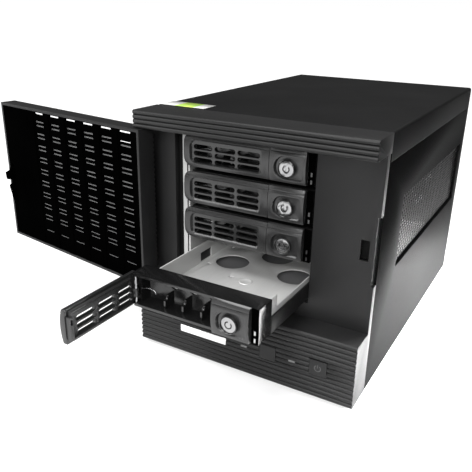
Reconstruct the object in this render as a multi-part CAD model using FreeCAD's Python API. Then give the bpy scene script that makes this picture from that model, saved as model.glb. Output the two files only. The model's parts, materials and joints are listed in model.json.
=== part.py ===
import FreeCAD, Part
import os
import math
from FreeCAD import Vector

# Four-bay NAS enclosure. Millimetres, +Z up, front towards -Y.
# Sizes below are given from the chassis front edge (y = 0) and its underside (z = 0).
# save() moves every shape so that the origin is the middle of the plane under the feet.

# chassis
WIDTH = 210.0
HEIGHT = 217.0
DEPTH = 303.0
HALF = WIDTH / 2
SHEET = 1.2
FOOT_HEIGHT = 4.0
FOOT_RADIUS = 10.0
FEET = ((-80, 28), (80, 28), (-80, 275), (80, 275), (0, 151.5))
SIDE_TOP = 195.0
COVER_FRONT = 3.0
COVER_BEND = 2.4
INSIDE = HALF - SHEET

# side vents: a window with sloped edges and a perforated plate behind it
VENT_Y = (55.0, 285.0)
VENT_Z = (93.0, 157.0)
VENT_RECESS = 2.5
VENT_SLOPE = 2.0
VENT_BORDER = 8.0
VENT_HOLE = 4.0
VENT_PITCH_Y = 8.5
VENT_PITCH_Z = 6.5

# front bezel
WALL = 2.5
PANEL_Y = -6.5
LOWER_TOP = 57.0
LOWER_Y = -29.0
LOWER_RIBS = 13
HEADER_BOTTOM = 202.0
HEADER_Y = -29.3
HEADER_RIBS = 4
RIB_DEPTH = 1.6
BAY_X = (-79.7, 52.0)
BAY_Z = (70.0, 202.0)
STRIKE_X = (91.8, 98.8)
STRIKE_Z = (118.5, 135.5)
NOTCH_Z = (98.0, 155.0)
NOTCH_DEPTH = 2.0
BADGE = (-59.5, -12.0, 22.0, 28.6)
WINDOWS = ((5.4, 26.0), (50.8, 26.6))
WINDOW_SIZE = (6.0, 2.2)
BUTTON_SIZE = (15.2, 13.6)
BUTTON_GAP = 0.3
RESET_AT = (28.5, 27.3)
POWER_AT = (74.0, 28.0)

# door, drawn closed and then swung open to its rest pose
DOOR_X = (-103.5, 103.3)
DOOR_Y = (-28.9, -13.0)
DOOR_Z = (57.5, 201.5)
DOOR_RIBS = 33
DOOR_OPEN = 188.8
HINGE_X = -99.44
HINGE_Y = -23.25
PIN_RADIUS = 2.5
PIN_CLEARANCE = 0.05
SLOT_WIDTH = 15.0
SLOT_HEIGHT = 2.0
SLOT_FIRST = -85.0
SLOT_PITCH = 25.0
SLOT_COLUMNS = 6
SLOT_PAIRS = 9
SLOT_PAIR_TOP = 186.8
SLOT_PAIR_PITCH = 12.1
SLOT_PAIR_HALF = 2.0
SLOT_TOP = 197.1
SLOT_BOTTOM = 75.3
FILTER_X = (-93.0, -71.0, 51.0)
FILTER_Y = (-16.6, -15.8)
FILTER_Z = (71.5, 186.8, 191.5)
LATCH_X = (93.6, 97.2)
LATCH_LIFT = 3.0
SHELL_SLOT_X = (-96.0, 68.0)
SHELL_SLOT_DROP = 4.5
SHELL_SLOT_HEIGHT = 3.0

# drive trays
TRAYS = 4
TRAY_PITCH = 32.1
TRAY_TOP = 198.6
TRAY_HEIGHT = 28.3
TRAY_OUT = 85.0
TRAY_X = (-63.2, 51.0)
TRAY_FRONT = -5.7
TRAY_BACK = 13.0
FACE_Y = -11.0
FACE_EDGE_Y = -8.9
FACE_STEP = 0.5
FACE_STEP_DROP = 3.2
LEVER_X = (-67.6, 13.0)
LEVER_BACK = -6.0
PIVOT_X = -61.0
PIVOT_Y = -3.5
LEVER_PIN = 1.25
BLOCK_X = (13.4, 44.5)
LED_X = (45.0, 51.0)
LOCK_X = 27.8
LOCK_RISE = 11.1
LOCK_RADIUS = 6.2
LOCK_CLEARANCE = 0.06
LOCK_DISH = 10.6
KEY_GROOVE = (2.2, 3.1)
LEVER_CORE = -2.8
LEVER_SLAT = -4.2
FIN_X = (-36.0, -19.0, -2.0)
FIN_THICK = 1.6
FIN_TOP = 13.0
FIN_SCOOP = 4.0
VENT_BORE_X = (-34.0, -16.0, 2.0)
VENT_BORE = 4.5
ARC_STEPS = 5
PAN_X = (-60.0, 50.0)
PAN_END = 160.0
PAN_HOLES = ((-35.7, 105.0), (27.0, 106.0), (-4.5, 137.0))
PAN_HOLE_RADIUS = 15.5
RAIL_LEFT = 3.0
RAIL_RIGHT = 1.6
RAIL_HEIGHT = 14.0
RAIL_END = 165.0

# drive cage and what stands behind it
CAGE_X = (-71.0, 55.0)
CAGE_END = 175.0
CAGE_SHEET = 1.0
BOARD = 170.0
BOARD_Z = 7.7
BOARD_THICK = 1.6
BOARD_REAR = 300.5
STANDOFF_RADIUS = 3.0
FAN = 80.0
FAN_DEPTH = 25.0
FAN_BORE = 38.5
FAN_X = (-45.0, 45.0)
FAN_Z = 104.0
HUB_RADIUS = 16.0
SHAFT_RADIUS = 1.5
SUPPLY = (-62.5, 62.5, 201.8, 301.8, 148.0, 211.5)
IO_X = 79.4
IO_Z = (6.0, 50.5)
# left edge, width and height of each port block
PORTS = ((-74, 15, 28), (-54, 16, 30), (-34, 31, 12), (2, 17, 28), (24, 17, 28), (46, 27, 33))
SINK_FINS = 14
SINK_PITCH = 5.2
BLADES = 7
BLADE_TWIST = 32.0
GRILLE_PITCH = 8.4
GRILLE_HOLE = 3.0
ROW_RATIO = 0.866
INLET = (-45.0, 180.0)
SCREW_X = 96.0
SCREW_Z = (70.0, 206.0)

REAR_INSIDE = DEPTH - SHEET
RIGHT = 1
LEFT = -1


def box(x0, x1, y0, y1, z0, z1):
    return Part.makeBox(x1 - x0, y1 - y0, z1 - z0, Vector(x0, y0, z0))


def post(x, y, radius, z0, z1):
    return Part.makeCylinder(radius, z1 - z0, Vector(x, y, z0))


def rod(x, z, radius, y0, y1):
    return Part.makeCylinder(radius, y1 - y0, Vector(x, y0, z), Vector(0, 1, 0))


def joined(shapes):
    return shapes[0].multiFuse(shapes[1:]).removeSplitter()


def ribbed(x0, x1, y_face, y_back, z0, z1, ribs):
    """A bar whose front face is a row of rounded horizontal ribs."""
    pitch = (z1 - z0) / ribs
    edges = [Part.LineSegment(Vector(x0, y_back, z0), Vector(x0, y_face, z0)).toShape()]
    for i in range(ribs):
        low = z0 + i * pitch
        start = Vector(x0, y_face, low)
        middle = Vector(x0, y_face - RIB_DEPTH, low + pitch / 2)
        end = Vector(x0, y_face, low + pitch)
        edges.append(Part.Arc(start, middle, end).toShape())
    edges.append(Part.LineSegment(Vector(x0, y_face, z1), Vector(x0, y_back, z1)).toShape())
    edges.append(Part.LineSegment(Vector(x0, y_back, z1), Vector(x0, y_back, z0)).toShape())
    face = Part.Face(Part.Wire(edges))
    return face.extrude(Vector(x1 - x0, 0, 0))


def obround(x0, x1, z, height, y0, y1):
    """A horizontal slot with round ends, cut along Y."""
    r = height / 2
    parts = [box(x0 + r, x1 - r, y0, y1, z - r, z + r)]
    parts.append(rod(x0 + r, z, r, y0, y1))
    parts.append(rod(x1 - r, z, r, y0, y1))
    return joined(parts)


def save(name, shape):
    placed = shape.copy()
    placed.translate(Vector(0, -DEPTH / 2, FOOT_HEIGHT))
    if not placed.isValid():
        print("not valid:", name)
    for solid in placed.Solids:
        if solid.Volume <= 0:
            print("no volume:", name)
    placed.exportStep("parts/%s.step" % name)
    b = placed.BoundBox
    spans = (b.XMin, b.XMax, b.YMin, b.YMax, b.ZMin, b.ZMax)
    print(name, len(placed.Solids), ["%.1f" % v for v in spans])


# ---------------------------------------------------------------- chassis

def base_tray():
    """Floor and front wall folded from one sheet, with the board standoffs."""
    floor = box(-INSIDE, INSIDE, 0, DEPTH, 0, SHEET)
    front = box(-INSIDE, INSIDE, 0, SHEET, SHEET, BAY_Z[1])
    bay = box(CAGE_X[0] - 0.5, BAY_X[1] + 1, -1, SHEET + 1, BAY_Z[0], BAY_Z[1] + 1)
    strike = box(STRIKE_X[0] - 2, STRIKE_X[1] + 2, -1, SHEET + 1, STRIKE_Z[0] - 2, STRIKE_Z[1] + 2)
    parts = [floor, front.cut(bay).cut(strike)]
    for x, y in board_holes():
        parts.append(post(x, y, STANDOFF_RADIUS, SHEET, BOARD_Z))
    return joined(parts)


def board_holes():
    """The four fixing holes of a mini-ITX board."""
    left = -BOARD / 2 + 6.35
    rear = BOARD_REAR - 10.16
    return [(left + dx, rear - dy) for dx in (0, 157.48) for dy in (0, 154.94)]


def tapered_window(side):
    """The window of a side vent, narrower at the perforated plate."""
    y0, y1 = VENT_Y if side > 0 else (-VENT_Y[1], -VENT_Y[0])
    z0, z1 = VENT_Z
    deep = VENT_RECESS + 0.01
    wedge = Part.makeWedge(y0, 0, z0, z0 + VENT_SLOPE, y0 + VENT_SLOPE,
                           y1, deep, z1, z1 - VENT_SLOPE, y1 - VENT_SLOPE)
    wedge.rotate(Vector(0, 0, 0), Vector(0, 0, 1), side * 90)
    wedge.translate(Vector(side * HALF, 0, 0))
    return wedge


def side_panel(side):
    near, far = sorted((side * INSIDE, side * HALF))
    panel = box(near, far, 0, DEPTH, 0, SIDE_TOP)
    near, far = sorted((side * (HALF - VENT_RECESS), side * INSIDE))
    y0, y1 = VENT_Y[0] - VENT_BORDER, VENT_Y[1] + VENT_BORDER
    z0, z1 = VENT_Z[0] - VENT_BORDER, VENT_Z[1] + VENT_BORDER
    frame = box(near, far, y0, y1, z0, z1)
    return joined([panel, frame]).cut(tapered_window(side))


def vent_plate(side):
    """Perforated plate with staggered round holes."""
    y0, y1 = VENT_Y[0] - VENT_BORDER, VENT_Y[1] + VENT_BORDER
    z0, z1 = VENT_Z[0] - VENT_BORDER, VENT_Z[1] + VENT_BORDER
    x = side * (HALF - VENT_RECESS)
    corners = [(y0, z0), (y1, z0), (y1, z1), (y0, z1), (y0, z0)]
    wires = [Part.makePolygon([Vector(x, y, z) for y, z in corners])]
    margin = VENT_SLOPE + VENT_HOLE
    rows = int((VENT_Z[1] - VENT_Z[0] - 2 * margin) / VENT_PITCH_Z) + 1
    for row in range(rows):
        z = VENT_Z[0] + margin + row * VENT_PITCH_Z
        y = VENT_Y[0] + margin + (row % 2) * VENT_PITCH_Y / 2
        while y < VENT_Y[1] - margin:
            ring = Part.makeCircle(VENT_HOLE / 2, Vector(x, y, z), Vector(1, 0, 0))
            wires.append(Part.Wire([ring]))
            y += VENT_PITCH_Y
    face = Part.makeFace(wires, "Part::FaceMakerBullseye")
    return face.extrude(Vector(-side * 1.0, 0, 0))


def bend_profile(half, z_low, z_high, radius):
    """Outline of an inverted U sheet with rounded shoulders, half wide."""
    k = radius * (1 - math.sqrt(0.5))
    a = Vector(-half, 0, z_low)
    b = Vector(-half, 0, z_high - radius)
    c = Vector(-half + k, 0, z_high - k)
    d = Vector(-half + radius, 0, z_high)
    e = Vector(half - radius, 0, z_high)
    f = Vector(half - k, 0, z_high - k)
    g = Vector(half, 0, z_high - radius)
    h = Vector(half, 0, z_low)
    return [
        Part.LineSegment(a, b).toShape(),
        Part.Arc(b, c, d).toShape(),
        Part.LineSegment(d, e).toShape(),
        Part.Arc(e, f, g).toShape(),
        Part.LineSegment(g, h).toShape(),
        Part.LineSegment(h, a).toShape(),
    ]


def top_cover():
    outer = Part.Face(Part.Wire(bend_profile(HALF, SIDE_TOP, HEIGHT, COVER_BEND)))
    inner = Part.Face(Part.Wire(bend_profile(INSIDE, SIDE_TOP, HEIGHT - SHEET, COVER_BEND - SHEET)))
    length = Vector(0, DEPTH - COVER_FRONT, 0)
    cover = outer.extrude(length).cut(inner.extrude(length))
    cover.translate(Vector(0, COVER_FRONT, 0))
    return cover


def rear_panel():
    """Rear wall with the port opening, the supply opening, two grilles and screw holes."""
    top = HEIGHT - SHEET
    corners = [(-INSIDE + 1.2, SHEET), (INSIDE - 1.2, SHEET), (INSIDE - 1.2, top), (-INSIDE + 1.2, top)]
    corners.append(corners[0])
    wires = [Part.makePolygon([Vector(x, REAR_INSIDE, z) for x, z in corners])]
    openings = [(-IO_X, IO_X) + IO_Z]
    openings.append((SUPPLY[0] + 3, SUPPLY[1] - 3, SUPPLY[4] + 3, SUPPLY[5] - 3))
    for x0, x1, z0, z1 in openings:
        loop = [(x0, z0), (x1, z0), (x1, z1), (x0, z1), (x0, z0)]
        wires.append(Part.makePolygon([Vector(x, REAR_INSIDE, z) for x, z in loop]))
    for x, z in grille_holes():
        ring = Part.makeCircle(GRILLE_HOLE, Vector(x, REAR_INSIDE, z), Vector(0, 1, 0))
        wires.append(Part.Wire([ring]))
    face = Part.makeFace(wires, "Part::FaceMakerBullseye")
    return face.extrude(Vector(0, SHEET, 0))


def grille_holes():
    pitch = GRILLE_PITCH
    found = []
    for centre in FAN_X:
        for row in range(-4, 5):
            shift = pitch / 2 if row % 2 else 0.0
            for column in range(-5, 6):
                x = column * pitch + shift
                z = row * pitch * ROW_RATIO
                if math.hypot(x, z) < FAN_BORE - 4:
                    found.append((centre + x, FAN_Z + z))
    return found


def feet():
    return Part.Compound([
        post(x, y, FOOT_RADIUS, -FOOT_HEIGHT, 0)
        for x, y in FEET
    ])


def cover_screws():
    """Knurled thumbscrews on the rear wall."""
    return Part.Compound([
        joined([rod(x, z, 5.0, DEPTH, DEPTH + 4), rod(x, z, 4.2, DEPTH + 4, DEPTH + 5)])
        for x in (-SCREW_X, SCREW_X) for z in SCREW_Z
    ])


def top_label():
    return box(-HALF + COVER_BEND, -58, 5.3, 25, HEIGHT, HEIGHT + 0.25)


# ---------------------------------------------------------------- front bezel

def button_hole(at):
    x, z = at
    w = BUTTON_SIZE[0] / 2 + BUTTON_GAP
    h = BUTTON_SIZE[1] / 2 + BUTTON_GAP
    return box(x - w, x + w, LOWER_Y - 3, LOWER_Y + WALL + 1, z - h, z + h)


def window_box(at, y0, y1):
    x, z = at
    w, h = WINDOW_SIZE
    return box(x - w / 2, x + w / 2, y0, y1, z - h / 2, z + h / 2)


def badge_box():
    x0, x1, z0, z1 = BADGE
    return box(x0, x1, LOWER_Y - RIB_DEPTH - 0.6, LOWER_Y, z0, z1)


def front_bezel():
    """Moulded shell: ribbed header and lower block with a recessed panel between."""
    lower = ribbed(-HALF, HALF, LOWER_Y, 0, 0, LOWER_TOP, LOWER_RIBS)
    panel = box(-HALF, HALF, PANEL_Y, 0, LOWER_TOP, HEADER_BOTTOM)
    header = ribbed(-HALF, HALF, HEADER_Y, COVER_FRONT, HEADER_BOTTOM, HEIGHT, HEADER_RIBS)
    shell = joined([lower, panel, header])
    inner = HALF - WALL
    hollow_low = box(-inner, inner, LOWER_Y + WALL, 1, WALL, LOWER_TOP - WALL)
    hollow_mid = box(-inner, inner, PANEL_Y + WALL, 1, LOWER_TOP - WALL, HEADER_BOTTOM)
    frame = box(BAY_X[0] - WALL, BAY_X[1] + WALL, PANEL_Y, 1, BAY_Z[0] - WALL, HEADER_BOTTOM)
    hollow_top = box(-inner, inner, HEADER_Y + WALL, 5, HEADER_BOTTOM + WALL, HEIGHT - WALL)
    bay = box(BAY_X[0], BAY_X[1], PANEL_Y - 1, 1, BAY_Z[0], BAY_Z[1])
    strike = box(*STRIKE_X, PANEL_Y - 1, 1, *STRIKE_Z)
    notch = box(HALF - NOTCH_DEPTH, HALF + 1, PANEL_Y - 1, 0, *NOTCH_Z)
    cuts = [hollow_low, hollow_mid.cut(frame), hollow_top, bay, strike, notch]
    cuts += [button_hole(RESET_AT), button_hole(POWER_AT), badge_box()]
    cuts += [window_box(at, LOWER_Y - 3, LOWER_Y + WALL + 1) for at in WINDOWS]
    bore = PIN_RADIUS + PIN_CLEARANCE
    cuts.append(post(HINGE_X, HINGE_Y, bore, LOWER_TOP - WALL - 1, LOWER_TOP + 1))
    cuts.append(post(HINGE_X, HINGE_Y, bore, HEADER_BOTTOM - 1, HEADER_BOTTOM + WALL + 1))
    shell = shell.cut(cuts)
    bosses = [rod(x, 12, 3, LOWER_Y + WALL - 0.2, -18) for x in (20, 82)]
    return joined([shell] + bosses)


def indicator_windows():
    return Part.Compound([window_box(at, LOWER_Y - 0.9, LOWER_Y + WALL) for at in WINDOWS])


def push_button(at):
    """Cap, retaining flange and stem of a front button; it travels along Y."""
    x, z = at
    w, h = BUTTON_SIZE
    y = LOWER_Y - RIB_DEPTH
    cap = box(x - w / 2, x + w / 2, y, LOWER_Y + WALL + 0.3, z - h / 2, z + h / 2)
    grip = w / 2 + 1.2
    lip = box(x - grip, x + grip, LOWER_Y + WALL + 0.3, LOWER_Y + WALL + 1.5, z - h / 2, z + h / 2)
    stem = rod(x, z, 2.0, LOWER_Y + WALL + 1.5, -24.2)
    return joined([cap, lip, stem])


def switch_board():
    parts = [box(12, 90, -18, -16.4, 8, 40)]
    for x, z in (RESET_AT, POWER_AT):
        parts.append(box(x - 3, x + 3, -22.4, -18, z - 3, z + 3))
    return Part.Compound(parts)


# ---------------------------------------------------------------- door

def slot_heights():
    rows = [SLOT_TOP, SLOT_BOTTOM]
    for i in range(SLOT_PAIRS):
        middle = SLOT_PAIR_TOP - i * SLOT_PAIR_PITCH
        rows += [middle - SLOT_PAIR_HALF, middle + SLOT_PAIR_HALF]
    return rows


def liner_slots(y0, y1):
    found = []
    for column in range(SLOT_COLUMNS):
        x = SLOT_FIRST + column * SLOT_PITCH
        for z in slot_heights():
            low = z - SLOT_HEIGHT / 2
            found.append(box(x - SLOT_WIDTH / 2, x + SLOT_WIDTH / 2, y0, y1, low, low + SLOT_HEIGHT))
    return found


def shell_slots(y0, y1):
    """Long louvres in the outer skin, one below each row or pair of liner slots."""
    middles = [SLOT_TOP]
    middles += [SLOT_PAIR_TOP + SLOT_PAIR_HALF / 2 - i * SLOT_PAIR_PITCH for i in range(SLOT_PAIRS)]
    found = []
    for z in middles:
        low = z - SHELL_SLOT_DROP - SHELL_SLOT_HEIGHT / 2
        found.append(box(*SHELL_SLOT_X, y0, y1, low, low + SHELL_SLOT_HEIGHT))
    return found


def swing(shape):
    """Turns a shape drawn on the closed door to the open rest pose."""
    shape.rotate(Vector(HINGE_X, HINGE_Y, 0), Vector(0, 0, 1), -DOOR_OPEN)
    return shape


def door_shell():
    """Ribbed outer skin with a deep rim, slotted for the air intake."""
    body = ribbed(*DOOR_X, *DOOR_Y, *DOOR_Z, DOOR_RIBS)
    x0, x1 = DOOR_X[0] + WALL, DOOR_X[1] - WALL
    hollow = box(x0, x1, DOOR_Y[0] + WALL, DOOR_Y[1] + 1, DOOR_Z[0] + WALL, DOOR_Z[1] - WALL)
    body = body.cut(hollow)
    sockets = []
    for z0, z1 in ((DOOR_Z[0], DOOR_Z[0] + 8), (DOOR_Z[1] - 8, DOOR_Z[1])):
        sockets.append(post(HINGE_X, HINGE_Y, PIN_RADIUS + 1.4, z0, z1))
    body = joined([body] + sockets)
    cuts = shell_slots(DOOR_Y[0] - 2, DOOR_Y[0] + WALL + 0.5)
    cuts.append(post(HINGE_X, HINGE_Y, PIN_RADIUS, DOOR_Z[0] - 1, DOOR_Z[0] + 9))
    cuts.append(post(HINGE_X, HINGE_Y, PIN_RADIUS, DOOR_Z[1] - 9, DOOR_Z[1] + 1))
    return swing(body.cut(cuts))


def door_liner():
    """Inner plate with slot columns set back between raised bars."""
    x0, x1 = DOOR_X[0] + WALL, DOOR_X[1] - WALL
    z0, z1 = DOOR_Z[0] + WALL, DOOR_Z[1] - WALL
    plate = box(x0, x1, -15.8, -13.8, z0, z1)
    parts = [plate]
    edge = x0
    for column in range(SLOT_COLUMNS):
        x = SLOT_FIRST + column * SLOT_PITCH
        parts.append(box(edge, x - SLOT_WIDTH / 2 - 1, -13.8, -13.0, z0, z1))
        edge = x + SLOT_WIDTH / 2 + 1
    parts.append(box(edge, x1, -13.8, -13.0, z0, z1))
    liner = joined(parts)
    cuts = liner_slots(-17, -12)
    cuts.append(box(LATCH_X[0] - 0.4, LATCH_X[1] + 0.4, -17, -12, 85.5, 135.0 + LATCH_LIFT))
    return swing(liner.cut(cuts))


def door_filter():
    """Dust filter sheet behind the liner, short of the top row and of the hinge column's top."""
    low = box(FILTER_X[0], FILTER_X[2], *FILTER_Y, FILTER_Z[0], FILTER_Z[1])
    high = box(FILTER_X[1], FILTER_X[2], *FILTER_Y, FILTER_Z[1], FILTER_Z[2])
    return swing(joined([low, high]))


def door_pins():
    low = post(HINGE_X, HINGE_Y, PIN_RADIUS, LOWER_TOP - WALL - 1.5, DOOR_Z[0] + 8)
    high = post(HINGE_X, HINGE_Y, PIN_RADIUS, DOOR_Z[1] - 8, HEADER_BOTTOM + WALL + 1.5)
    return swing(Part.Compound([low, high]))


def door_latch():
    """Sprung hook plate near the free edge; its upper hook enters the strike slot."""
    outline = [(-24, 86), (-13.5, 86), (-10.5, 98), (-7.6, 113.0), (-7.6, 115.5), (-10.6, 117),
               (-10.6, 121.5), (-5.2, 122.5), (-4.6, 130), (-9, 131.5), (-10.5, 134.5), (-24, 134.5)]
    points = [Vector(LATCH_X[0], y, z) for y, z in outline]
    face = Part.Face(Part.makePolygon(points + points[:1]))
    return swing(face.extrude(Vector(LATCH_X[1] - LATCH_X[0], 0, 0)))


# ---------------------------------------------------------------- trays

def tray_low(number):
    return TRAY_TOP - TRAY_HEIGHT - (number - 1) * TRAY_PITCH


def drawn(shape, number):
    """Slides the pieces of the lowest tray out to their rest place."""
    if number == TRAYS:
        shape.translate(Vector(0, -TRAY_OUT, 0))
    return shape


def domed_bar(x0, x1, y_back, z0, z1):
    """A bar whose front is bowed from bottom to top, with a step under its top edge."""
    a = Vector(x0, y_back, z0)
    b = Vector(x0, FACE_EDGE_Y, z0)
    c = Vector(x0, FACE_Y, (z0 + z1) / 2)
    d = Vector(x0, FACE_EDGE_Y, z1)
    e = Vector(x0, y_back, z1)
    edges = [Part.LineSegment(a, b).toShape(), Part.Arc(b, c, d).toShape()]
    edges += [Part.LineSegment(d, e).toShape(), Part.LineSegment(e, a).toShape()]
    bar = Part.Face(Part.Wire(edges)).extrude(Vector(x1 - x0, 0, 0))
    z = z1 - FACE_STEP_DROP
    groove = box(x0 - 1, x1 + 1, FACE_Y - 1, FACE_EDGE_Y - 0.4, z - FACE_STEP, z)
    return bar.cut(groove)


def dished(outline_outer, outline_inner, y_outer, y_inner):
    """A recess with sloping walls between two outlines of the same number of points."""
    rings = []
    for y, outline in ((y_outer, outline_outer), (y_inner, outline_inner)):
        points = [Vector(x, y, z) for x, z in outline]
        rings.append(Part.makePolygon(points + points[:1]))
    return Part.makeLoft(rings, True, True)


def rounded_outline(x0, x1, z0, z1, radii):
    """Corner points of a rectangle with arcs; radii run from lower left anticlockwise."""
    corners = ((x0, z0, 180), (x1, z0, 270), (x1, z1, 0), (x0, z1, 90))
    found = []
    for (x, z, start), r in zip(corners, radii):
        cx = x + r if x == x0 else x - r
        cz = z + r if z == z0 else z - r
        for step in range(ARC_STEPS + 1):
            angle = math.radians(start + 90.0 * step / ARC_STEPS)
            found.append((cx + r * math.cos(angle), cz + r * math.sin(angle)))
    return found


def tray_front(number):
    """Front housing: lever cavity with fins, lock block and indicator column."""
    z0 = tray_low(number)
    z1 = z0 + TRAY_HEIGHT
    body = box(*TRAY_X, TRAY_FRONT, TRAY_BACK, z0, z1)
    block = domed_bar(BLOCK_X[0], BLOCK_X[1], TRAY_FRONT, z0 + 0.2, z1 - 0.2)
    led = box(*LED_X, PANEL_Y, TRAY_FRONT, z0, z1)
    corner = box(TRAY_X[0] - 1, PIVOT_X, TRAY_FRONT - 1, PIVOT_Y, z0 - 1, z1 + 1)
    corner = corner.cut(post(PIVOT_X, PIVOT_Y, 2.2, z0 - 2, z1 + 2))
    cavity = box(-58, 12.4, TRAY_FRONT - 1, 11, z0 + 2, z1 - 2)
    knuckle = box(TRAY_X[0] - 1, -57.9, TRAY_FRONT - 1, 0, z0 + 2.5, z1 - 2.5)
    body = joined([body, block, led])
    cuts = [corner, cavity, knuckle]
    z = z0 + LOCK_RISE
    cuts.append(rod(LOCK_X, z, LOCK_RADIUS + LOCK_CLEARANCE, FACE_Y - 1, 9))
    reach = LOCK_DISH
    outer = rounded_outline(LOCK_X - reach, BLOCK_X[1] - 2.6, z - reach + 0.6, z + reach,
                            (reach - 1, 2.5, 3.5, reach - 1))
    inner = rounded_outline(LOCK_X - reach + 1.4, BLOCK_X[1] - 3.4, z - reach + 3.2, z + reach - 0.6,
                            (reach - 2.6, 1.5, 3.0, reach - 2.4))
    cuts.append(dished(outer, inner, FACE_Y - 0.2, FACE_Y + 2.6))
    cuts.append(post(PIVOT_X, PIVOT_Y, LEVER_PIN, z0 - 1, z1 + 1))
    cuts += light_pipe_boxes(z0)
    for x in VENT_BORE_X:
        cuts.append(rod(x, z0 + 19, VENT_BORE, 10, TRAY_BACK + 1))
    body = body.cut(cuts)
    fins = []
    for x in FIN_X:
        fin = box(x, x + FIN_THICK, -1, 11, z0 + 2, z0 + FIN_TOP)
        fins.append(fin.cut(rod_x(x - 1, x + 3, -1, z0 + FIN_TOP, FIN_SCOOP)))
    return drawn(joined([body] + fins), number)


def rod_x(x0, x1, y, z, radius):
    return Part.makeCylinder(radius, x1 - x0, Vector(x0, y, z), Vector(1, 0, 0))


def light_pipe_boxes(z0):
    return [box(47.3, 48.7, PANEL_Y - 0.2, 1, z0 + dz - 1.6, z0 + dz + 1.6) for dz in (3.0, 8.9)]


def light_pipes(number):
    return drawn(Part.Compound(light_pipe_boxes(tray_low(number))), number)


def lever_pin(number):
    z0 = tray_low(number)
    return drawn(post(PIVOT_X, PIVOT_Y, LEVER_PIN, z0, z0 + TRAY_HEIGHT), number)


def lever(number):
    """Ejector lever: bowed channel with a dished, slotted face and a hinge barrel."""
    z0 = tray_low(number) + 0.4
    z1 = z0 + TRAY_HEIGHT - 0.8
    x0, x1 = LEVER_X
    plate = domed_bar(x0, x1, LEVER_BACK, z0, z1)
    ends = rounded_outline(x0, x1, z0, z1, (7.0, 1.0, 1.0, 5.0))
    mask = Part.Face(Part.makePolygon([Vector(x, FACE_Y - 1, z) for x, z in ends + ends[:1]]))
    plate = plate.common(mask.extrude(Vector(0, 10, 0)))
    barrel = post(PIVOT_X, PIVOT_Y, 2.1, z0 + 7, z0 + 14)
    web = box(PIVOT_X - 1.2, PIVOT_X + 1.2, LEVER_BACK, PIVOT_Y, z0 + 7, z0 + 14)
    catch = box(9.0, 12.0, LEVER_BACK, -2.0, z0 + 4, z1 - 6)
    core = box(-55, 9.5, LEVER_BACK, LEVER_CORE, z0 + 2.4, z1 - 2.4)
    body = joined([plate, web, barrel, catch, core])
    outer = rounded_outline(-62, 6.8, z0 + 1.2, z0 + 23.2, (6.5, 3.5, 3.5, 4.5))
    inner = rounded_outline(-60.6, 5.2, z0 + 4.3, z0 + 22.4, (4.0, 2.5, 3.0, 4.0))
    dish = dished(outer, inner, FACE_Y - 0.2, FACE_Y + 2.6)
    hollow = box(-53.5, 8.2, LEVER_SLAT, LEVER_CORE + 1, z0 + 4.2, z1 - 4.0)
    slit = box(9.5, 11.4, -4.5, -1, z1 - 12, z1 - 7.5)
    cuts = [dish, hollow, slit, post(PIVOT_X, PIVOT_Y, LEVER_PIN + PIN_CLEARANCE, z0 - 1, z1 + 1)]
    for low, high in ((-59, -40.6), (-38.4, -18.6), (-16.6, 4.0)):
        for dz in (6.2, 11.8, 17.4):
            cuts.append(obround(low, high, z0 + dz, 4.2, FACE_Y - 1, LEVER_CORE + 1))
    body = body.cut(cuts)
    if number == TRAYS:
        body.rotate(Vector(PIVOT_X, PIVOT_Y, 0), Vector(0, 0, 1), -90)
    return drawn(body, number)


def lock_cylinder(number):
    """Tubular key lock: round plug with a C-shaped groove."""
    z = tray_low(number) + LOCK_RISE
    plug = rod(LOCK_X, z, LOCK_RADIUS, FACE_Y + 1, 9)
    inner, outer = (rod(LOCK_X, z, r, FACE_Y, FACE_Y + 4) for r in KEY_GROOVE)
    groove = outer.cut(inner)
    key = box(LOCK_X - 0.2, LOCK_X + 2.0, FACE_Y, FACE_Y + 4, z + 1.5, z + 5)
    return drawn(plug.cut([groove.cut(key)]), number)


def tray_pan(number):
    """Steel pan for a 3.5 inch drive: floor, two side walls and a back edge."""
    z0 = tray_low(number) + 2
    x0, x1 = PAN_X
    parts = [box(x0, x1, TRAY_BACK, PAN_END, z0, z0 + 1)]
    parts.append(box(x0, x0 + 1, TRAY_BACK, PAN_END, z0, z0 + 19))
    parts.append(box(x1 - 1, x1, TRAY_BACK, PAN_END, z0, z0 + 16))
    parts.append(box(x1 - 1, x1, TRAY_BACK, TRAY_BACK + 10, z0, z0 + 26))
    parts.append(box(x0, x1, PAN_END - 1, PAN_END, z0, z0 + 4))
    pan = joined(parts)
    cuts = [post(x, y, PAN_HOLE_RADIUS, z0 - 1, z0 + 2) for x, y in PAN_HOLES]
    cuts.append(box(-22.4, -18.4, 75, 77.5, z0 - 1, z0 + 2))
    cuts += [post(x - 5, y, 1.8, z0 - 1, z0 + 2) for x in (-47.6, 47.6) for y in (90, 134.4)]
    cuts.append(box(x0 - 1, x0 + 2, 86.7, 104.8, z0 + 2, z0 + 11))
    return drawn(pan.cut(cuts), number)


def tray_rails(number):
    z0 = tray_low(number)
    left = box(PAN_X[0] - RAIL_LEFT, PAN_X[0], TRAY_BACK, RAIL_END, z0, z0 + RAIL_HEIGHT)
    right = box(PAN_X[1], PAN_X[1] + RAIL_RIGHT, TRAY_BACK, RAIL_END, z0, z0 + RAIL_HEIGHT)
    return drawn(Part.Compound([left, right]), number)


# ---------------------------------------------------------------- inside

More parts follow.
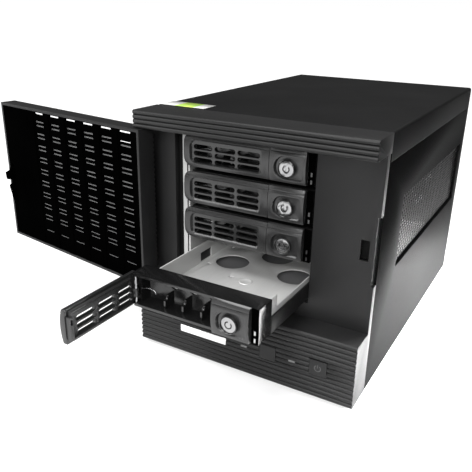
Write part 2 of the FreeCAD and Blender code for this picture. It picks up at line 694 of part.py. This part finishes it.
def drive_cage():
    """Folded steel cage with a front flange and a ledge under each tray."""
    x0, x1 = CAGE_X
    z0, z1 = BAY_Z
    t = CAGE_SHEET
    parts = [box(x0, x0 + t, SHEET, CAGE_END, z0, z1)]
    parts.append(box(x1 - t, x1, SHEET, CAGE_END, z0, z1))
    parts.append(box(x0, x1, SHEET, CAGE_END, z0, z0 + t))
    parts.append(box(x0, x1, SHEET + 3, CAGE_END, z1 - t, z1))
    parts.append(box(-88, x0, SHEET, SHEET + t, z0, z1))
    parts.append(box(x1, 62, SHEET, SHEET + t, z0, z1))
    for number in range(1, TRAYS + 1):
        z = tray_low(number)
        parts.append(box(x0, -60.5, TRAY_BACK + 1, CAGE_END, z - 1.3, z - 0.3))
        parts.append(box(50.5, x1, TRAY_BACK + 1, CAGE_END, z - 1.3, z - 0.3))
    return joined(parts)


def backplane():
    return box(*CAGE_X, CAGE_END, CAGE_END + 1.6, *BAY_Z)


def drive_connectors():
    return Part.Compound([
        box(-40, 6, 167, CAGE_END, tray_low(n) + 3, tray_low(n) + 10)
        for n in range(1, TRAYS + 1)
    ])


def mainboard():
    y0 = BOARD_REAR - BOARD
    return box(-BOARD / 2, BOARD / 2, y0, BOARD_REAR, BOARD_Z, BOARD_Z + BOARD_THICK)


def heatsink():
    z = BOARD_Z + BOARD_THICK
    parts = [box(-30, 40, 190, 260, z, z + 6)]
    for i in range(SINK_FINS):
        x = -30 + i * SINK_PITCH
        parts.append(box(x, x + 1.6, 190, 260, z + 6, z + 34))
    return joined(parts)


def io_ports():
    """Port blocks standing on the board behind the rear opening."""
    z = BOARD_Z + BOARD_THICK
    return Part.Compound([box(x, x + w, 284, DEPTH, z, z + h) for x, w, h in PORTS])


def power_supply():
    return box(*SUPPLY)


def power_inlet():
    """Three-pin inlet socket on the rear of the supply."""
    x, z = INLET
    y = SUPPLY[3]
    body = box(x - 12, x + 12, y, y + 6, z - 9, z + 9)
    socket = box(x - 10, x + 10, y + 1, y + 7, z - 7, z + 7)
    pins = [box(x - 1 + d, x + 1 + d, y + 1, y + 5, z - 2, z + 2) for d in (-6, 0, 6)]
    return joined([body.cut(socket)] + pins)


def fan_frames():
    frames = []
    for x in FAN_X:
        y0 = REAR_INSIDE - FAN_DEPTH
        h = FAN / 2
        ring = box(x - h, x + h, y0, REAR_INSIDE, FAN_Z - h, FAN_Z + h)
        ring = ring.cut(rod(x, FAN_Z, FAN_BORE, y0 - 1, REAR_INSIDE + 1))
        hub = rod(x, FAN_Z, HUB_RADIUS, REAR_INSIDE - 4, REAR_INSIDE)
        arms = [box(x - 39, x + 39, REAR_INSIDE - 3, REAR_INSIDE, FAN_Z - 2, FAN_Z + 2)]
        arms.append(box(x - 2, x + 2, REAR_INSIDE - 3, REAR_INSIDE, FAN_Z - 39, FAN_Z + 39))
        body = joined([ring, hub] + arms)
        frames.append(body.cut(rod(x, FAN_Z, SHAFT_RADIUS + PIN_CLEARANCE, y0, REAR_INSIDE + 1)))
    return Part.Compound(frames)


def fan_rotor(x):
    y0 = REAR_INSIDE - FAN_DEPTH + 1.5
    hub = rod(x, FAN_Z, HUB_RADIUS, y0, REAR_INSIDE - 5)
    shaft = rod(x, FAN_Z, SHAFT_RADIUS, REAR_INSIDE - 5, REAR_INSIDE - 0.5)
    parts = [hub, shaft]
    for i in range(BLADES):
        blade = box(x - 1, x + 1, y0 + 1, y0 + 17, FAN_Z + HUB_RADIUS - 2, FAN_Z + FAN_BORE - 1.5)
        blade.rotate(Vector(x, y0 + 9, FAN_Z), Vector(0, 0, 1), BLADE_TWIST)
        blade.rotate(Vector(x, 0, FAN_Z), Vector(0, 1, 0), i * 360 / BLADES)
        parts.append(blade)
    return joined(parts)


# ---------------------------------------------------------------- output

os.makedirs("parts", exist_ok=True)

save("base_tray", base_tray())
save("side_panel_left", side_panel(LEFT))
save("side_panel_right", side_panel(RIGHT))
save("vent_plate_left", vent_plate(LEFT))
save("vent_plate_right", vent_plate(RIGHT))
save("top_cover", top_cover())
save("rear_panel", rear_panel())
save("feet", feet())
save("cover_screws", cover_screws())
save("top_label", top_label())
save("front_bezel", front_bezel())
save("badge_plate", badge_box())
save("indicator_windows", indicator_windows())
save("reset_button", push_button(RESET_AT))
save("power_button", push_button(POWER_AT))
save("switch_board", switch_board())
save("door_shell", door_shell())
save("door_liner", door_liner())
save("door_filter", door_filter())
save("door_pins", door_pins())
save("door_latch", door_latch())
for tray in range(1, TRAYS + 1):
    save("tray_%d_front" % tray, tray_front(tray))
    save("tray_%d_pan" % tray, tray_pan(tray))
    save("tray_%d_rails" % tray, tray_rails(tray))
    save("tray_%d_light_pipes" % tray, light_pipes(tray))
    save("tray_%d_lever_pin" % tray, lever_pin(tray))
    save("tray_%d_lever" % tray, lever(tray))
    save("tray_%d_lock" % tray, lock_cylinder(tray))
save("drive_cage", drive_cage())
save("backplane", backplane())
save("drive_connectors", drive_connectors())
save("mainboard", mainboard())
save("heatsink", heatsink())
save("io_ports", io_ports())
save("power_supply", power_supply())
save("power_inlet", power_inlet())
save("fan_frames", fan_frames())
save("fan_rotor_left", fan_rotor(FAN_X[0]))
save("fan_rotor_right", fan_rotor(FAN_X[1]))
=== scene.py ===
import json
import math

import bmesh
import bpy
from mathutils import Matrix, Vector


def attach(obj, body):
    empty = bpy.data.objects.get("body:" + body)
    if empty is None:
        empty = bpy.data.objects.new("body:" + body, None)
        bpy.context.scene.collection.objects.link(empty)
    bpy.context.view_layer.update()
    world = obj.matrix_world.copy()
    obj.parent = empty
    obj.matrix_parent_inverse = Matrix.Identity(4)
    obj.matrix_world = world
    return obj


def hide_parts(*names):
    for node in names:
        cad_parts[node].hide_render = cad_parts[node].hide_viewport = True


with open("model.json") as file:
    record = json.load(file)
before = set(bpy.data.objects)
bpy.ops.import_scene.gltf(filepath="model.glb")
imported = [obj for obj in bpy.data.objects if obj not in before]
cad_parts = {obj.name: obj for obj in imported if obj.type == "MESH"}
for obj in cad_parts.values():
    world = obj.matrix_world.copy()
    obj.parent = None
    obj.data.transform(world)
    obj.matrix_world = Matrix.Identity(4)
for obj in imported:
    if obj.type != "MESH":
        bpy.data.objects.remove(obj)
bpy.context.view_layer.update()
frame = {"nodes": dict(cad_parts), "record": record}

NODES = frame["nodes"]
MM = 0.001
# the row frame's origin, seen from the chassis front edge and underside, in mm
ORIGIN_Y = 151.5
ORIGIN_Z = 4.0
TRAYS = (1, 2, 3, 4)
OPEN_TRAY = 4
TRAY_OUT = 85.0
TOP_TRAY_LOW = 170.3
TRAY_PITCH = 32.1
# how the CAD meshes are cleaned and rounded: metres, then degrees
JOIN_WITHIN = 2e-6
FLAT_WITHIN = 0.6
BEVEL_FROM = 38
SHARP_FROM = 32
BUMP_DISTANCE = 0.0002


def place(x, y, z):
    """Chassis coordinates in mm to the row frame in metres."""
    return Vector((x * MM, (y - ORIGIN_Y) * MM, (z + ORIGIN_Z) * MM))


def tray_low(number):
    """Height of a tray's lower edge, in mm."""
    return TOP_TRAY_LOW - (number - 1) * TRAY_PITCH


def tray_shift(number):
    """How far along Y a tray stands from its closed place, in mm."""
    return -TRAY_OUT if number == OPEN_TRAY else 0.0


# ------------------------------------------------------------- materials

class Nodes:
    """Small helper to build one node material."""

    def __init__(self, name):
        self.mat = bpy.data.materials.new(name)
        self.mat.use_nodes = True
        self.tree = self.mat.node_tree
        self.shader = self.tree.nodes["Principled BSDF"]
        self.coords = self.add("ShaderNodeTexCoord").outputs["Object"]

    def add(self, kind, **values):
        node = self.tree.nodes.new(kind)
        for key, value in values.items():
            if key in node.inputs:
                node.inputs[key].default_value = value
            else:
                setattr(node, key, value)
        return node

    def link(self, a, b):
        self.tree.links.new(a, b)

    def scaled(self, scale):
        node = self.add("ShaderNodeMapping")
        node.inputs["Scale"].default_value = scale
        self.link(self.coords, node.inputs["Vector"])
        return node.outputs["Vector"]

    def noise(self, scale, detail, stretch=(1, 1, 1)):
        node = self.add("ShaderNodeTexNoise", Scale=scale, Detail=detail, Roughness=0.55)
        self.link(self.scaled(stretch), node.inputs["Vector"])
        return node.outputs["Fac"]

    def spread(self, value, low, high):
        """Stretches the middle of a noise over low to high."""
        node = self.add("ShaderNodeMapRange")
        node.inputs["From Min"].default_value = 0.3
        node.inputs["From Max"].default_value = 0.7
        node.inputs["To Min"].default_value = low
        node.inputs["To Max"].default_value = high
        self.link(value, node.inputs["Value"])
        return node.outputs["Result"]

    def mixed(self, fac, a, b):
        node = self.add("ShaderNodeMix", data_type="RGBA")
        self.link(fac, node.inputs["Factor"])
        colours = {"A": (*a, 1), "B": (*b, 1)}
        for socket in node.inputs:
            if socket.type == "RGBA":
                socket.default_value = colours[socket.name]
        return next(s for s in node.outputs if s.type == "RGBA")

    def bump(self, height, strength):
        node = self.add("ShaderNodeBump", Strength=strength, Distance=BUMP_DISTANCE)
        self.link(height, node.inputs["Height"])
        self.link(node.outputs["Normal"], self.shader.inputs["Normal"])


def finish(name, dark, light, rough, grain, bump, metallic=0.0, specular=0.5,
           stretch=(1, 1, 1), tone=14.0):
    """A moulded, painted or metal surface: tone drift, fine grain, uneven gloss."""
    n = Nodes(name)
    drift = n.noise(tone, 3.0, stretch)
    n.link(n.mixed(n.spread(drift, 0.0, 1.0), dark, light), n.shader.inputs["Base Color"])
    fine = n.noise(grain, 2.0, stretch)
    n.link(n.spread(fine, rough[0], rough[1]), n.shader.inputs["Roughness"])
    n.bump(fine, bump)
    n.shader.inputs["Metallic"].default_value = metallic
    n.shader.inputs["Specular IOR Level"].default_value = specular
    return n.mat


def grey(v):
    """A neutral tone with a trace of blue."""
    return (v, v, v * 1.02)


STEEL = finish("black_powder_coat", grey(0.0045), grey(0.0065), (0.50, 0.62), 2600, 0.25,
               specular=0.08)
# the side panels' copy of the black coat: its darker base colour is painted shade
SIDE_SHADED = finish("black_coat_painted_side_shade", grey(0.003), grey(0.0045), (0.42, 0.50), 2600, 0.20,
              specular=0.012)
# the vent plates' copy of the black coat: its lighter base colour is a painted highlight for
# the glint of the hole edges
VENT_GLINT = finish("vent_mesh_painted_glint", grey(0.008), grey(0.012), (0.34, 0.44), 1800, 0.10, specular=0.05)
BEZEL = finish("bezel_moulding", grey(0.0070), grey(0.0095), (0.40, 0.50), 2200, 0.15,
               specular=0.25)
DOOR = finish("door_moulding", grey(0.0003), grey(0.0006), (0.60, 0.70), 2200, 0.12,
              specular=0.0)
TRAY = finish("tray_gloss", grey(0.004), grey(0.006), (0.18, 0.26), 900, 0.04, specular=0.65)
LEVER = finish("lever_satin", grey(0.009), grey(0.012), (0.26, 0.34), 2000, 0.10,
               specular=0.65)
RAIL = finish("rail_moulding", grey(0.004), grey(0.006), (0.34, 0.46), 1800, 0.12,
              specular=0.35)
BRIGHT = finish("zinc_sheet", (0.44, 0.44, 0.44), (0.52, 0.52, 0.51), (0.32, 0.46), 700, 0.05,
                metallic=0.25, stretch=(1, 0.08, 1), tone=30)
CHROME = finish("polished_lock", (0.28, 0.28, 0.29), (0.40, 0.40, 0.40), (0.16, 0.24),
                400, 0.02, metallic=1.0, tone=60)
FINS = finish("bare_fins", (0.6, 0.6, 0.61), (0.7, 0.7, 0.71), (0.3, 0.4), 500, 0.05,
              metallic=1.0, stretch=(1, 0.05, 1))
RUBBER = finish("foot_rubber", grey(0.012), grey(0.018), (0.7, 0.85), 1500, 0.3)
PAPER = finish("label_film", (0.40, 0.40, 0.39), (0.46, 0.46, 0.45), (0.28, 0.36), 800, 0.03)
PATCH = finish("label_patch", (0.16, 0.34, 0.06), (0.42, 0.50, 0.07), (0.28, 0.36), 800, 0.03,
               tone=120)
SILVER = finish("silver_plate", (0.80, 0.80, 0.80), (0.88, 0.88, 0.88), (0.22, 0.30),
                900, 0.03, metallic=0.6, stretch=(0.06, 1, 1))
LENS = finish("clear_lens", (0.08, 0.08, 0.08), (0.11, 0.11, 0.11), (0.10, 0.18), 500, 0.02,
              specular=0.6)
# the open tray's light pipes: their bright base colour is painted light, so they look lit
LENS_PAINTED_LIT = finish("lens_painted_bright", (0.34, 0.34, 0.34), (0.40, 0.40, 0.40), (0.10, 0.18),
                  500, 0.02)
DARK_LENS = finish("dark_lens", (0.02, 0.02, 0.02), (0.03, 0.03, 0.03), (0.10, 0.18),
                   500, 0.02)
# grey for the cage floor under the trays: painted shade
SHADE_SHEET = finish("painted_shade_sheet", grey(0.10), grey(0.14), (0.45, 0.6), 1500, 0.10)
FILTER = finish("dust_screen", (0.16, 0.16, 0.16), (0.22, 0.22, 0.22), (0.7, 0.85), 3000, 0.4)
GREEN = finish("solder_mask", (0.008, 0.06, 0.025), (0.012, 0.09, 0.035), (0.25, 0.4),
               900, 0.06)
INK = finish("icon_ink", grey(0.035), grey(0.050), (0.4, 0.5), 900, 0.03)
RING = finish("lock_ring", grey(0.010), grey(0.013), (0.12, 0.2), 500, 0.02)

BY_SLOT = {
    "black_steel": STEEL, "bright_steel": BRIGHT, "aluminium": FINS, "foot_rubber": RUBBER,
    "label_paper": PAPER, "bezel_plastic": BEZEL, "door_plastic": DOOR, "tray_plastic": TRAY,
    "lever_plastic": LEVER, "rail_plastic": RAIL, "silver_trim": SILVER, "lens_plastic": LENS,
    "dust_filter": FILTER, "circuit_board": GREEN, "chrome": CHROME,
}
BY_NODE = {"door_shell": BEZEL, "side_panel_left": SIDE_SHADED, "side_panel_right": SIDE_SHADED}
for number in TRAYS:
    # the open tray's light pipes take the painted-light lens, the others the dark one
    BY_NODE["tray_%d_light_pipes" % number] = LENS_PAINTED_LIT if number == OPEN_TRAY else DARK_LENS
SLOT_OF = {s["node"]: s["material_slot"] for s in frame["record"]["subparts"]}
BODY_OF = {n: b for b, ns in frame["record"]["behaviour"]["bodies"].items() for n in ns}


def look_of(node_name):
    """A node's own material where it has one, or else its slot's."""
    return BY_NODE.get(node_name, BY_SLOT[SLOT_OF[node_name]])


for node_name, node in NODES.items():
    node.data.materials.clear()
    node.data.materials.append(look_of(node_name))


# ------------------------------------------------------------- mesh helpers

def piece(name, bm, mat, body, smooth=40):
    """Turns a bmesh into a finished piece on a body."""
    mesh = bpy.data.meshes.new(name)
    bm.to_mesh(mesh)
    bm.free()
    obj = bpy.data.objects.new(name, mesh)
    bpy.context.scene.collection.objects.link(obj)
    mats = mat if isinstance(mat, (list, tuple)) else [mat]
    for m in mats:
        mesh.materials.append(m)
    if smooth:
        mesh.shade_smooth()
        mesh.set_sharp_from_angle(angle=math.radians(smooth))
    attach(obj, body)
    return obj


def baked(obj):
    """Applies an object's modifiers to its mesh."""
    graph = bpy.context.evaluated_depsgraph_get()
    mesh = bpy.data.meshes.new_from_object(obj.evaluated_get(graph))
    obj.modifiers.clear()
    obj.data = mesh


def cad_mesh(node_name, merge=True):
    """A CAD node's mesh with its corners joined and, unless merge is off, flat faces whole."""
    bm = bmesh.new()
    bm.from_mesh(NODES[node_name].data)
    bmesh.ops.remove_doubles(bm, verts=bm.verts, dist=JOIN_WITHIN)
    if merge:
        bmesh.ops.dissolve_limit(bm, angle_limit=math.radians(FLAT_WITHIN),
                                 verts=bm.verts, edges=bm.edges)
    return bm


def soften(node_name, width, segments, merge=True):
    """Copies a CAD node and rounds its sharp edges; the copy stands for the node."""
    bm = cad_mesh(node_name, merge)
    obj = piece("soft_" + node_name, bm, look_of(node_name), BODY_OF[node_name],
                0)
    bevel = obj.modifiers.new("round", "BEVEL")
    bevel.width = width * MM
    bevel.segments = segments
    bevel.limit_method = "ANGLE"
    bevel.angle_limit = math.radians(BEVEL_FROM)
    bevel.use_clamp_overlap = True
    baked(obj)
    obj.data.shade_smooth()
    obj.data.set_sharp_from_angle(angle=math.radians(SHARP_FROM))
    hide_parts(node_name)
    return obj


def loft(bm, rings, close_start=True, close_end=True):
    """Skins a list of closed rings of points."""
    verts = [[bm.verts.new(p) for p in ring] for ring in rings]
    count = len(verts[0])
    for a, b in zip(verts, verts[1:]):
        for i in range(count):
            j = (i + 1) % count
            bm.faces.new((a[i], a[j], b[j], b[i]))
    if close_start:
        bm.faces.new(list(reversed(verts[0])))
    if close_end:
        bm.faces.new(verts[-1])


def circle(count, point):
    """The points that point(cosine, sine) gives at count equal steps of a turn."""
    turns = [2 * math.pi * i / count for i in range(count)]
    return [point(math.cos(a), math.sin(a)) for a in turns]


# ------------------------------------------------------------- rounded copies

# the lock block of a tray front lies between these, and the panel right of it beyond
BLOCK_X = (0.0130, 0.0447)
FACE_Y = -5.9
PANEL_DEPTH = 0.0003

for node_name, width, segments in (
    ("top_cover", 0.5, 2), ("side_panel_right", 0.45, 2), ("side_panel_left", 0.45, 2),
    ("front_bezel", 0.5, 2), ("door_shell", 0.45, 2), ("door_liner", 0.3, 2),
    ("door_latch", 0.4, 2), ("power_button", 0.5, 3), ("reset_button", 0.5, 3),
    ("badge_plate", 0.4, 2), ("cover_screws", 0.4, 2), ("feet", 0.8, 3),
    ("power_supply", 0.6, 2), ("power_inlet", 0.4, 2), ("drive_cage", 0.25, 1),
    ("fan_frames", 0.4, 1), ("rear_panel", 0.2, 1),
):
    soften(node_name, width, segments)
for number in TRAYS:
    front = soften("tray_%d_front" % number, 0.5, 2, merge=False)
    # the face of the lock block is in the lever's satin plastic, the panel's in the door's
    front.data.materials.append(LEVER)
    front.data.materials.append(DOOR)
    edge = place(0, FACE_Y + tray_shift(number), 0).y
    for polygon in front.data.polygons:
        middle = polygon.center
        if BLOCK_X[0] < middle.x < BLOCK_X[1] and middle.y < edge:
            polygon.material_index = 1
        elif middle.x > BLOCK_X[1] and middle.y < edge + PANEL_DEPTH:
            polygon.material_index = 2
    soften("tray_%d_lever" % number, 0.6, 3)
    soften("tray_%d_pan" % number, 0.3, 2)
    soften("tray_%d_rails" % number, 0.5, 2)
    soften("tray_%d_lock" % number, 0.35, 2)


# ------------------------------------------------------------- side vents

def perforated(bm, x, inward, y0, y1, z0, z1, pitch_y, pitch_z, radius, depth):
    """A thin plate along X with rows of round holes, each row shifted half a pitch."""
    sides = 16
    rows = int((z1 - z0) / pitch_z)
    columns = int((y1 - y0) / pitch_y)
    for row in range(rows):
        zc = z0 + (row + 0.5) * pitch_z
        shift = pitch_y / 2 if row % 2 else 0.0
        for column in range(columns - (row % 2)):
            yc = y0 + (column + 0.5) * pitch_y + shift
            hole, rim, back = [], [], []
            for i in range(sides):
                a = 2 * math.pi * (i + 0.5) / sides
                c, s = math.cos(a), math.sin(a)
                reach = min(pitch_y / 2 / max(abs(c), 1e-6), pitch_z / 2 / max(abs(s), 1e-6))
                rim.append(bm.verts.new(place(x, yc + c * reach, zc + s * reach)))
                hole.append(bm.verts.new(place(x, yc + c * radius, zc + s * radius)))
                back.append(bm.verts.new(
                    place(x - inward * depth, yc + c * radius, zc + s * radius)))
            for i in range(sides):
                j = (i + 1) % sides
                bm.faces.new((rim[i], rim[j], hole[j], hole[i]))
                bm.faces.new((hole[i], hole[j], back[j], back[i]))
        if row % 2:
            y_end = y0 + columns * pitch_y
            for ya, yb in ((y0, y0 + shift), (y0 + (columns - 0.5) * pitch_y, y_end)):
                ends = [(ya, zc - pitch_z / 2), (yb, zc - pitch_z / 2),
                        (yb, zc + pitch_z / 2), (ya, zc + pitch_z / 2)]
                bm.faces.new([bm.verts.new(place(x, y, z)) for y, z in ends])


VENT_X = 102.45
VENT_Y = (52.0, 286.0)
VENT_Z = (90.5, 158.75)
VENT_PITCH = (6.0, 3.25)
for side, name in ((1, "right"), (-1, "left")):
    bm = bmesh.new()
    perforated(bm, side * VENT_X, side, *VENT_Y, *VENT_Z, *VENT_PITCH, radius=1.25, depth=0.9)
    vent = piece("fine_vent_" + name, bm, VENT_GLINT, "root", 30)
    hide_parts("vent_plate_" + name)


# ------------------------------------------------------------- small details

# the middle of a lock, and of the seat in a pan; heights are above the tray's lower edge
LOCK_X, LOCK_RISE = 27.8, 11.1
SEAT_X, SEAT_Y, PAN_RISE = -4.8, 74.2, 3.0


def label():
    """Seal label over the top's left edge, with a coloured middle patch."""
    bm = bmesh.new()
    lift = 0.22
    top, fold_x, fold_z = 217.0, -102.6, 214.6
    right_end, side_x, low_end = -58.0, -105, 205.0
    front_edge, back_edge = 5.3, 25.0
    long_stretch = 10
    patch = range(3, 8)
    path = [(right_end, top + lift), (fold_x, top + lift)]
    for i in range(1, 7):
        a = math.radians(90 * i / 6)
        r = top - fold_z + lift
        path.append((fold_x - r * math.sin(a), fold_z + r * math.cos(a)))
    path.append((side_x - lift, low_end))
    stops = []
    for (xa, za), (xb, zb) in zip(path, path[1:]):
        steps = 12 if abs(xa - xb) > long_stretch else 1
        for i in range(steps):
            t = i / steps
            stops.append((xa + (xb - xa) * t, za + (zb - za) * t))
    stops.append(path[-1])
    rows = [[bm.verts.new(place(x, y, z)) for x, z in stops]
            for y in (front_edge, back_edge)]
    for i in range(len(stops) - 1):
        face = bm.faces.new((rows[0][i], rows[0][i + 1], rows[1][i + 1], rows[1][i]))
        if i in patch:
            face.material_index = 1
    obj = piece("seal_label", bm, [PAPER, PATCH], "root", 40)
    thick = obj.modifiers.new("film", "SOLIDIFY")
    thick.thickness = 0.18 * MM
    thick.offset = -1
    baked(obj)
    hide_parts("top_label")


def lock_rings():
    """Black collar round each lock plug."""
    for number in TRAYS:
        bm = bmesh.new()
        y = tray_shift(number)
        z = tray_low(number) + LOCK_RISE
        section = ((6.28, -9.0), (6.4, -10.5), (6.7, -10.8), (7.2, -10.6), (7.45, -8.6))
        rings = [circle(48, lambda c, s: place(LOCK_X + radius * c, y + ahead, z + radius * s))
                 for radius, ahead in section]
        loft(bm, rings, False, False)
        piece("lock_collar_%d" % number, bm, RING, "tray_%d" % number)


def pan_bosses():
    """Embossed round seat in the floor of each pan."""
    for number in TRAYS:
        bm = bmesh.new()
        y = SEAT_Y + tray_shift(number)
        z = tray_low(number) + PAN_RISE
        section = ((5.9, 0.0), (5.6, 0.35), (5.2, 0.5), (4.4, 0.35), (3.9, 0.12))
        rings = [circle(40, lambda c, s: place(SEAT_X + radius * c, y + radius * s, z + lift))
                 for radius, lift in section]
        loft(bm, rings, False, True)
        piece("pan_seat_%d" % number, bm, BRIGHT, "tray_%d" % number)


def bay_shade_sheet():
    """Dark sheet on the floor of the drive cage: its grey is painted shade for the dim floor
    seen through the pan holes.
    """
    bm = bmesh.new()
    low, high = 71.05, 71.35
    left, right, front, back = -69.5, 53.5, 3.0, 170.0
    outline = [(left, front), (right, front), (right, back), (left, back)]
    loft(bm, [[place(x, y, z) for x, y in outline] for z in (low, high)])
    piece("bay_shade_sheet", bm, SHADE_SHEET, "root", 0)


def lever_springs():
    """Bent wire spring in the left end of each lever cavity."""
    wire, depth = 0.5, 1.2
    path = [(-57.8, 13.2), (-55.0, 14.4), (-51.0, 14.9), (-47.0, 14.3), (-45.2, 13.0),
            (-44.8, 11.6)]
    for number in TRAYS:
        y = depth + tray_shift(number)
        low = tray_low(number)
        bm = bmesh.new()
        rings = []
        for index, (x, z) in enumerate(path):
            before = path[max(index - 1, 0)]
            after = path[min(index + 1, len(path) - 1)]
            along = Vector((after[0] - before[0], 0, after[1] - before[1])).normalized()
            across = Vector((-along.z, 0, along.x))
            rings.append(circle(10, lambda c, s: place(
                x + across.x * wire * c, y + wire * s, low + z + across.z * wire * c)))
        loft(bm, rings)
        piece("lever_spring_%d" % number, bm, CHROME, "tray_%d" % number)


def port_mouths():
    """Opens the rear face of each port block into a dark socket."""
    rim, taper, deep = 1.3, 0.05, 4.0
    bm = cad_mesh("io_ports")
    bm.normal_update()
    rear = [f for f in bm.faces if f.normal.y > 0.9]
    bmesh.ops.inset_individual(bm, faces=rear, thickness=rim * MM, depth=0.0)
    bmesh.ops.inset_individual(bm, faces=rear, thickness=taper * MM, depth=-deep * MM)
    for face in rear:
        face.material_index = 1
    ports = piece("port_blocks", bm, [BRIGHT, RAIL], BODY_OF["io_ports"], 30)
    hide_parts("io_ports")


def front_plates():
    """Bright flange of the drive cage beside the trays, and the floor of the latch's slot."""
    for name, mat, slot, x0, x1, z0, z1, y0, y1 in (
        ("cage_lip", BRIGHT, "bright_steel", -75.9, -71.7, 71.0, 201.0, -0.05, -0.35),
        ("strike_floor", STEEL, "black_steel", 89.9, 100.7, 116.6, 137.4, 2.9, 2.5),
    ):
        bm = bmesh.new()
        outline = [(x0, z0), (x1, z0), (x1, z1), (x0, z1)]
        loft(bm, [[place(x, y, z) for x, z in outline] for y in (y0, y1)])
        piece(name, bm, mat, "root", 0)


def power_icon():
    """Open ring and bar on the power button."""
    bm = bmesh.new()
    x, z, y = 74.0, 28.0, -30.75
    outer, inner = 3.0, 2.3
    half_gap = 32
    steps = 28
    last = None
    for i in range(steps + 1):
        a = math.radians(90 + half_gap + (360 - 2 * half_gap) * i / steps)
        pair = [bm.verts.new(place(x + r * math.cos(a), y, z + r * math.sin(a)))
                for r in (inner, outer)]
        if last:
            bm.faces.new((last[0], last[1], pair[1], pair[0]))
        last = pair
    bar = [(-0.35, 0.3), (0.35, 0.3), (0.35, 3.4), (-0.35, 3.4)]
    bm.faces.new([bm.verts.new(place(x + dx, y, z + dz)) for dx, dz in bar])
    obj = piece("power_icon", bm, INK, "power", 0)
    thick = obj.modifiers.new("ink", "SOLIDIFY")
    thick.thickness = 0.1 * MM
    baked(obj)


label()
lock_rings()
pan_bosses()
bay_shade_sheet()
front_plates()
lever_springs()
port_mouths()
power_icon()


# ------------------------------------------------------------- stage, light, camera

def floor():
    """Pale ground that glows a little; on the right it ends just outside the camera's view."""
    bm = bmesh.new()
    far, right_end = 60.0, 0.225
    glow = 0.50
    bm.faces.new([bm.verts.new((x, y, 0)) for x, y in
                  ((-far, -far), (right_end, -far), (right_end, far), (-far, far))])
    mesh = bpy.data.meshes.new("floor")
    bm.to_mesh(mesh)
    bm.free()
    obj = bpy.data.objects.new("floor", mesh)
    bpy.context.scene.collection.objects.link(obj)
    pale = Nodes("floor_paper")
    noise = pale.noise(3.0, 2.0)
    tone = pale.mixed(pale.spread(noise, 0.0, 1.0), (0.50, 0.50, 0.50), (0.53, 0.53, 0.53))
    pale.link(tone, pale.shader.inputs["Base Color"])
    pale.shader.inputs["Roughness"].default_value = 0.9
    pale.shader.inputs["Emission Color"].default_value = (1, 1, 1, 1)
    pale.shader.inputs["Emission Strength"].default_value = glow
    mesh.materials.append(pale.mat)


def area_light(name, at, aim, size, power):
    """A lamp of size in metres and power in watts that the camera doesn't see."""
    data = bpy.data.lights.new(name, "AREA")
    data.shape = "RECTANGLE"
    data.size, data.size_y = size
    data.energy = power
    obj = bpy.data.objects.new(name, data)
    obj.location = at
    obj.visible_camera = False
    obj.rotation_euler = (Vector(aim) - Vector(at)).to_track_quat("-Z", "Y").to_euler()
    bpy.context.scene.collection.objects.link(obj)


def sun_light(name, toward, angle, power):
    """A soft sun that stands in a direction and is angle degrees wide."""
    data = bpy.data.lights.new(name, "SUN")
    data.energy = power
    data.angle = math.radians(angle)
    obj = bpy.data.objects.new(name, data)
    obj.rotation_euler = Vector(toward).to_track_quat("Z", "Y").to_euler()
    bpy.context.scene.collection.objects.link(obj)


def studio():
    """White to look at, dim as a source, so dark surfaces stay dark."""
    dim, white = 0.10, 1.0
    bpy.context.scene.view_settings.view_transform = "Standard"
    world = bpy.data.worlds.new("studio")
    world.use_nodes = True
    tree = world.node_tree
    path = tree.nodes.new("ShaderNodeLightPath")
    level = tree.nodes.new("ShaderNodeMapRange")
    level.inputs["To Min"].default_value = dim
    level.inputs["To Max"].default_value = white
    back = tree.nodes["Background"]
    back.inputs["Color"].default_value = (1, 1, 1, 1)
    tree.links.new(path.outputs["Is Camera Ray"], level.inputs["Value"])
    tree.links.new(level.outputs["Result"], back.inputs["Strength"])
    bpy.context.scene.world = world


def camera():
    """Stands right of the front and above, turned by angles in degrees."""
    az, el, roll = (math.radians(v) for v in (29.765, 21.405, 1.0998))
    stand = (0.21734, -0.56878, 0.30470)
    ahead = Vector((-math.sin(az) * math.cos(el), math.cos(az) * math.cos(el), -math.sin(el)))
    right = Vector((math.cos(az), math.sin(az), 0))
    up = right.cross(ahead)
    x = right * math.cos(roll) + up * math.sin(roll)
    y = up * math.cos(roll) - right * math.sin(roll)
    turn = Matrix((x, y, -ahead)).transposed()
    data = bpy.data.cameras.new("camera")
    data.sensor_width = 36.0
    data.lens = 45.37
    data.clip_start = 0.01
    obj = bpy.data.objects.new("camera", data)
    obj.matrix_world = Matrix.Translation(stand) @ turn.to_4x4()
    bpy.context.scene.collection.objects.link(obj)
    bpy.context.scene.camera = obj


floor()
sun_light("soft_sky", (-0.25, -0.35, 1.0), 44, 3.6)
area_light("right_pool", (0.30, 0.30, 1.3), (0.30, 0.30, 0), (0.5, 0.5), 12)
area_light("side_pool", (0.19, 0.03, 0.06), (0.19, 0.03, 0), (0.05, 0.40), 4.5)
area_light("front_pool", (0.45, -1.6, 0.9), (0.1, -0.45, 0), (1.2, 0.8), 34)
area_light("left_fill", (-1.4, -0.9, 0.8), (-0.1, -0.1, 0.05), (0.8, 0.9), 12)
studio()
camera()
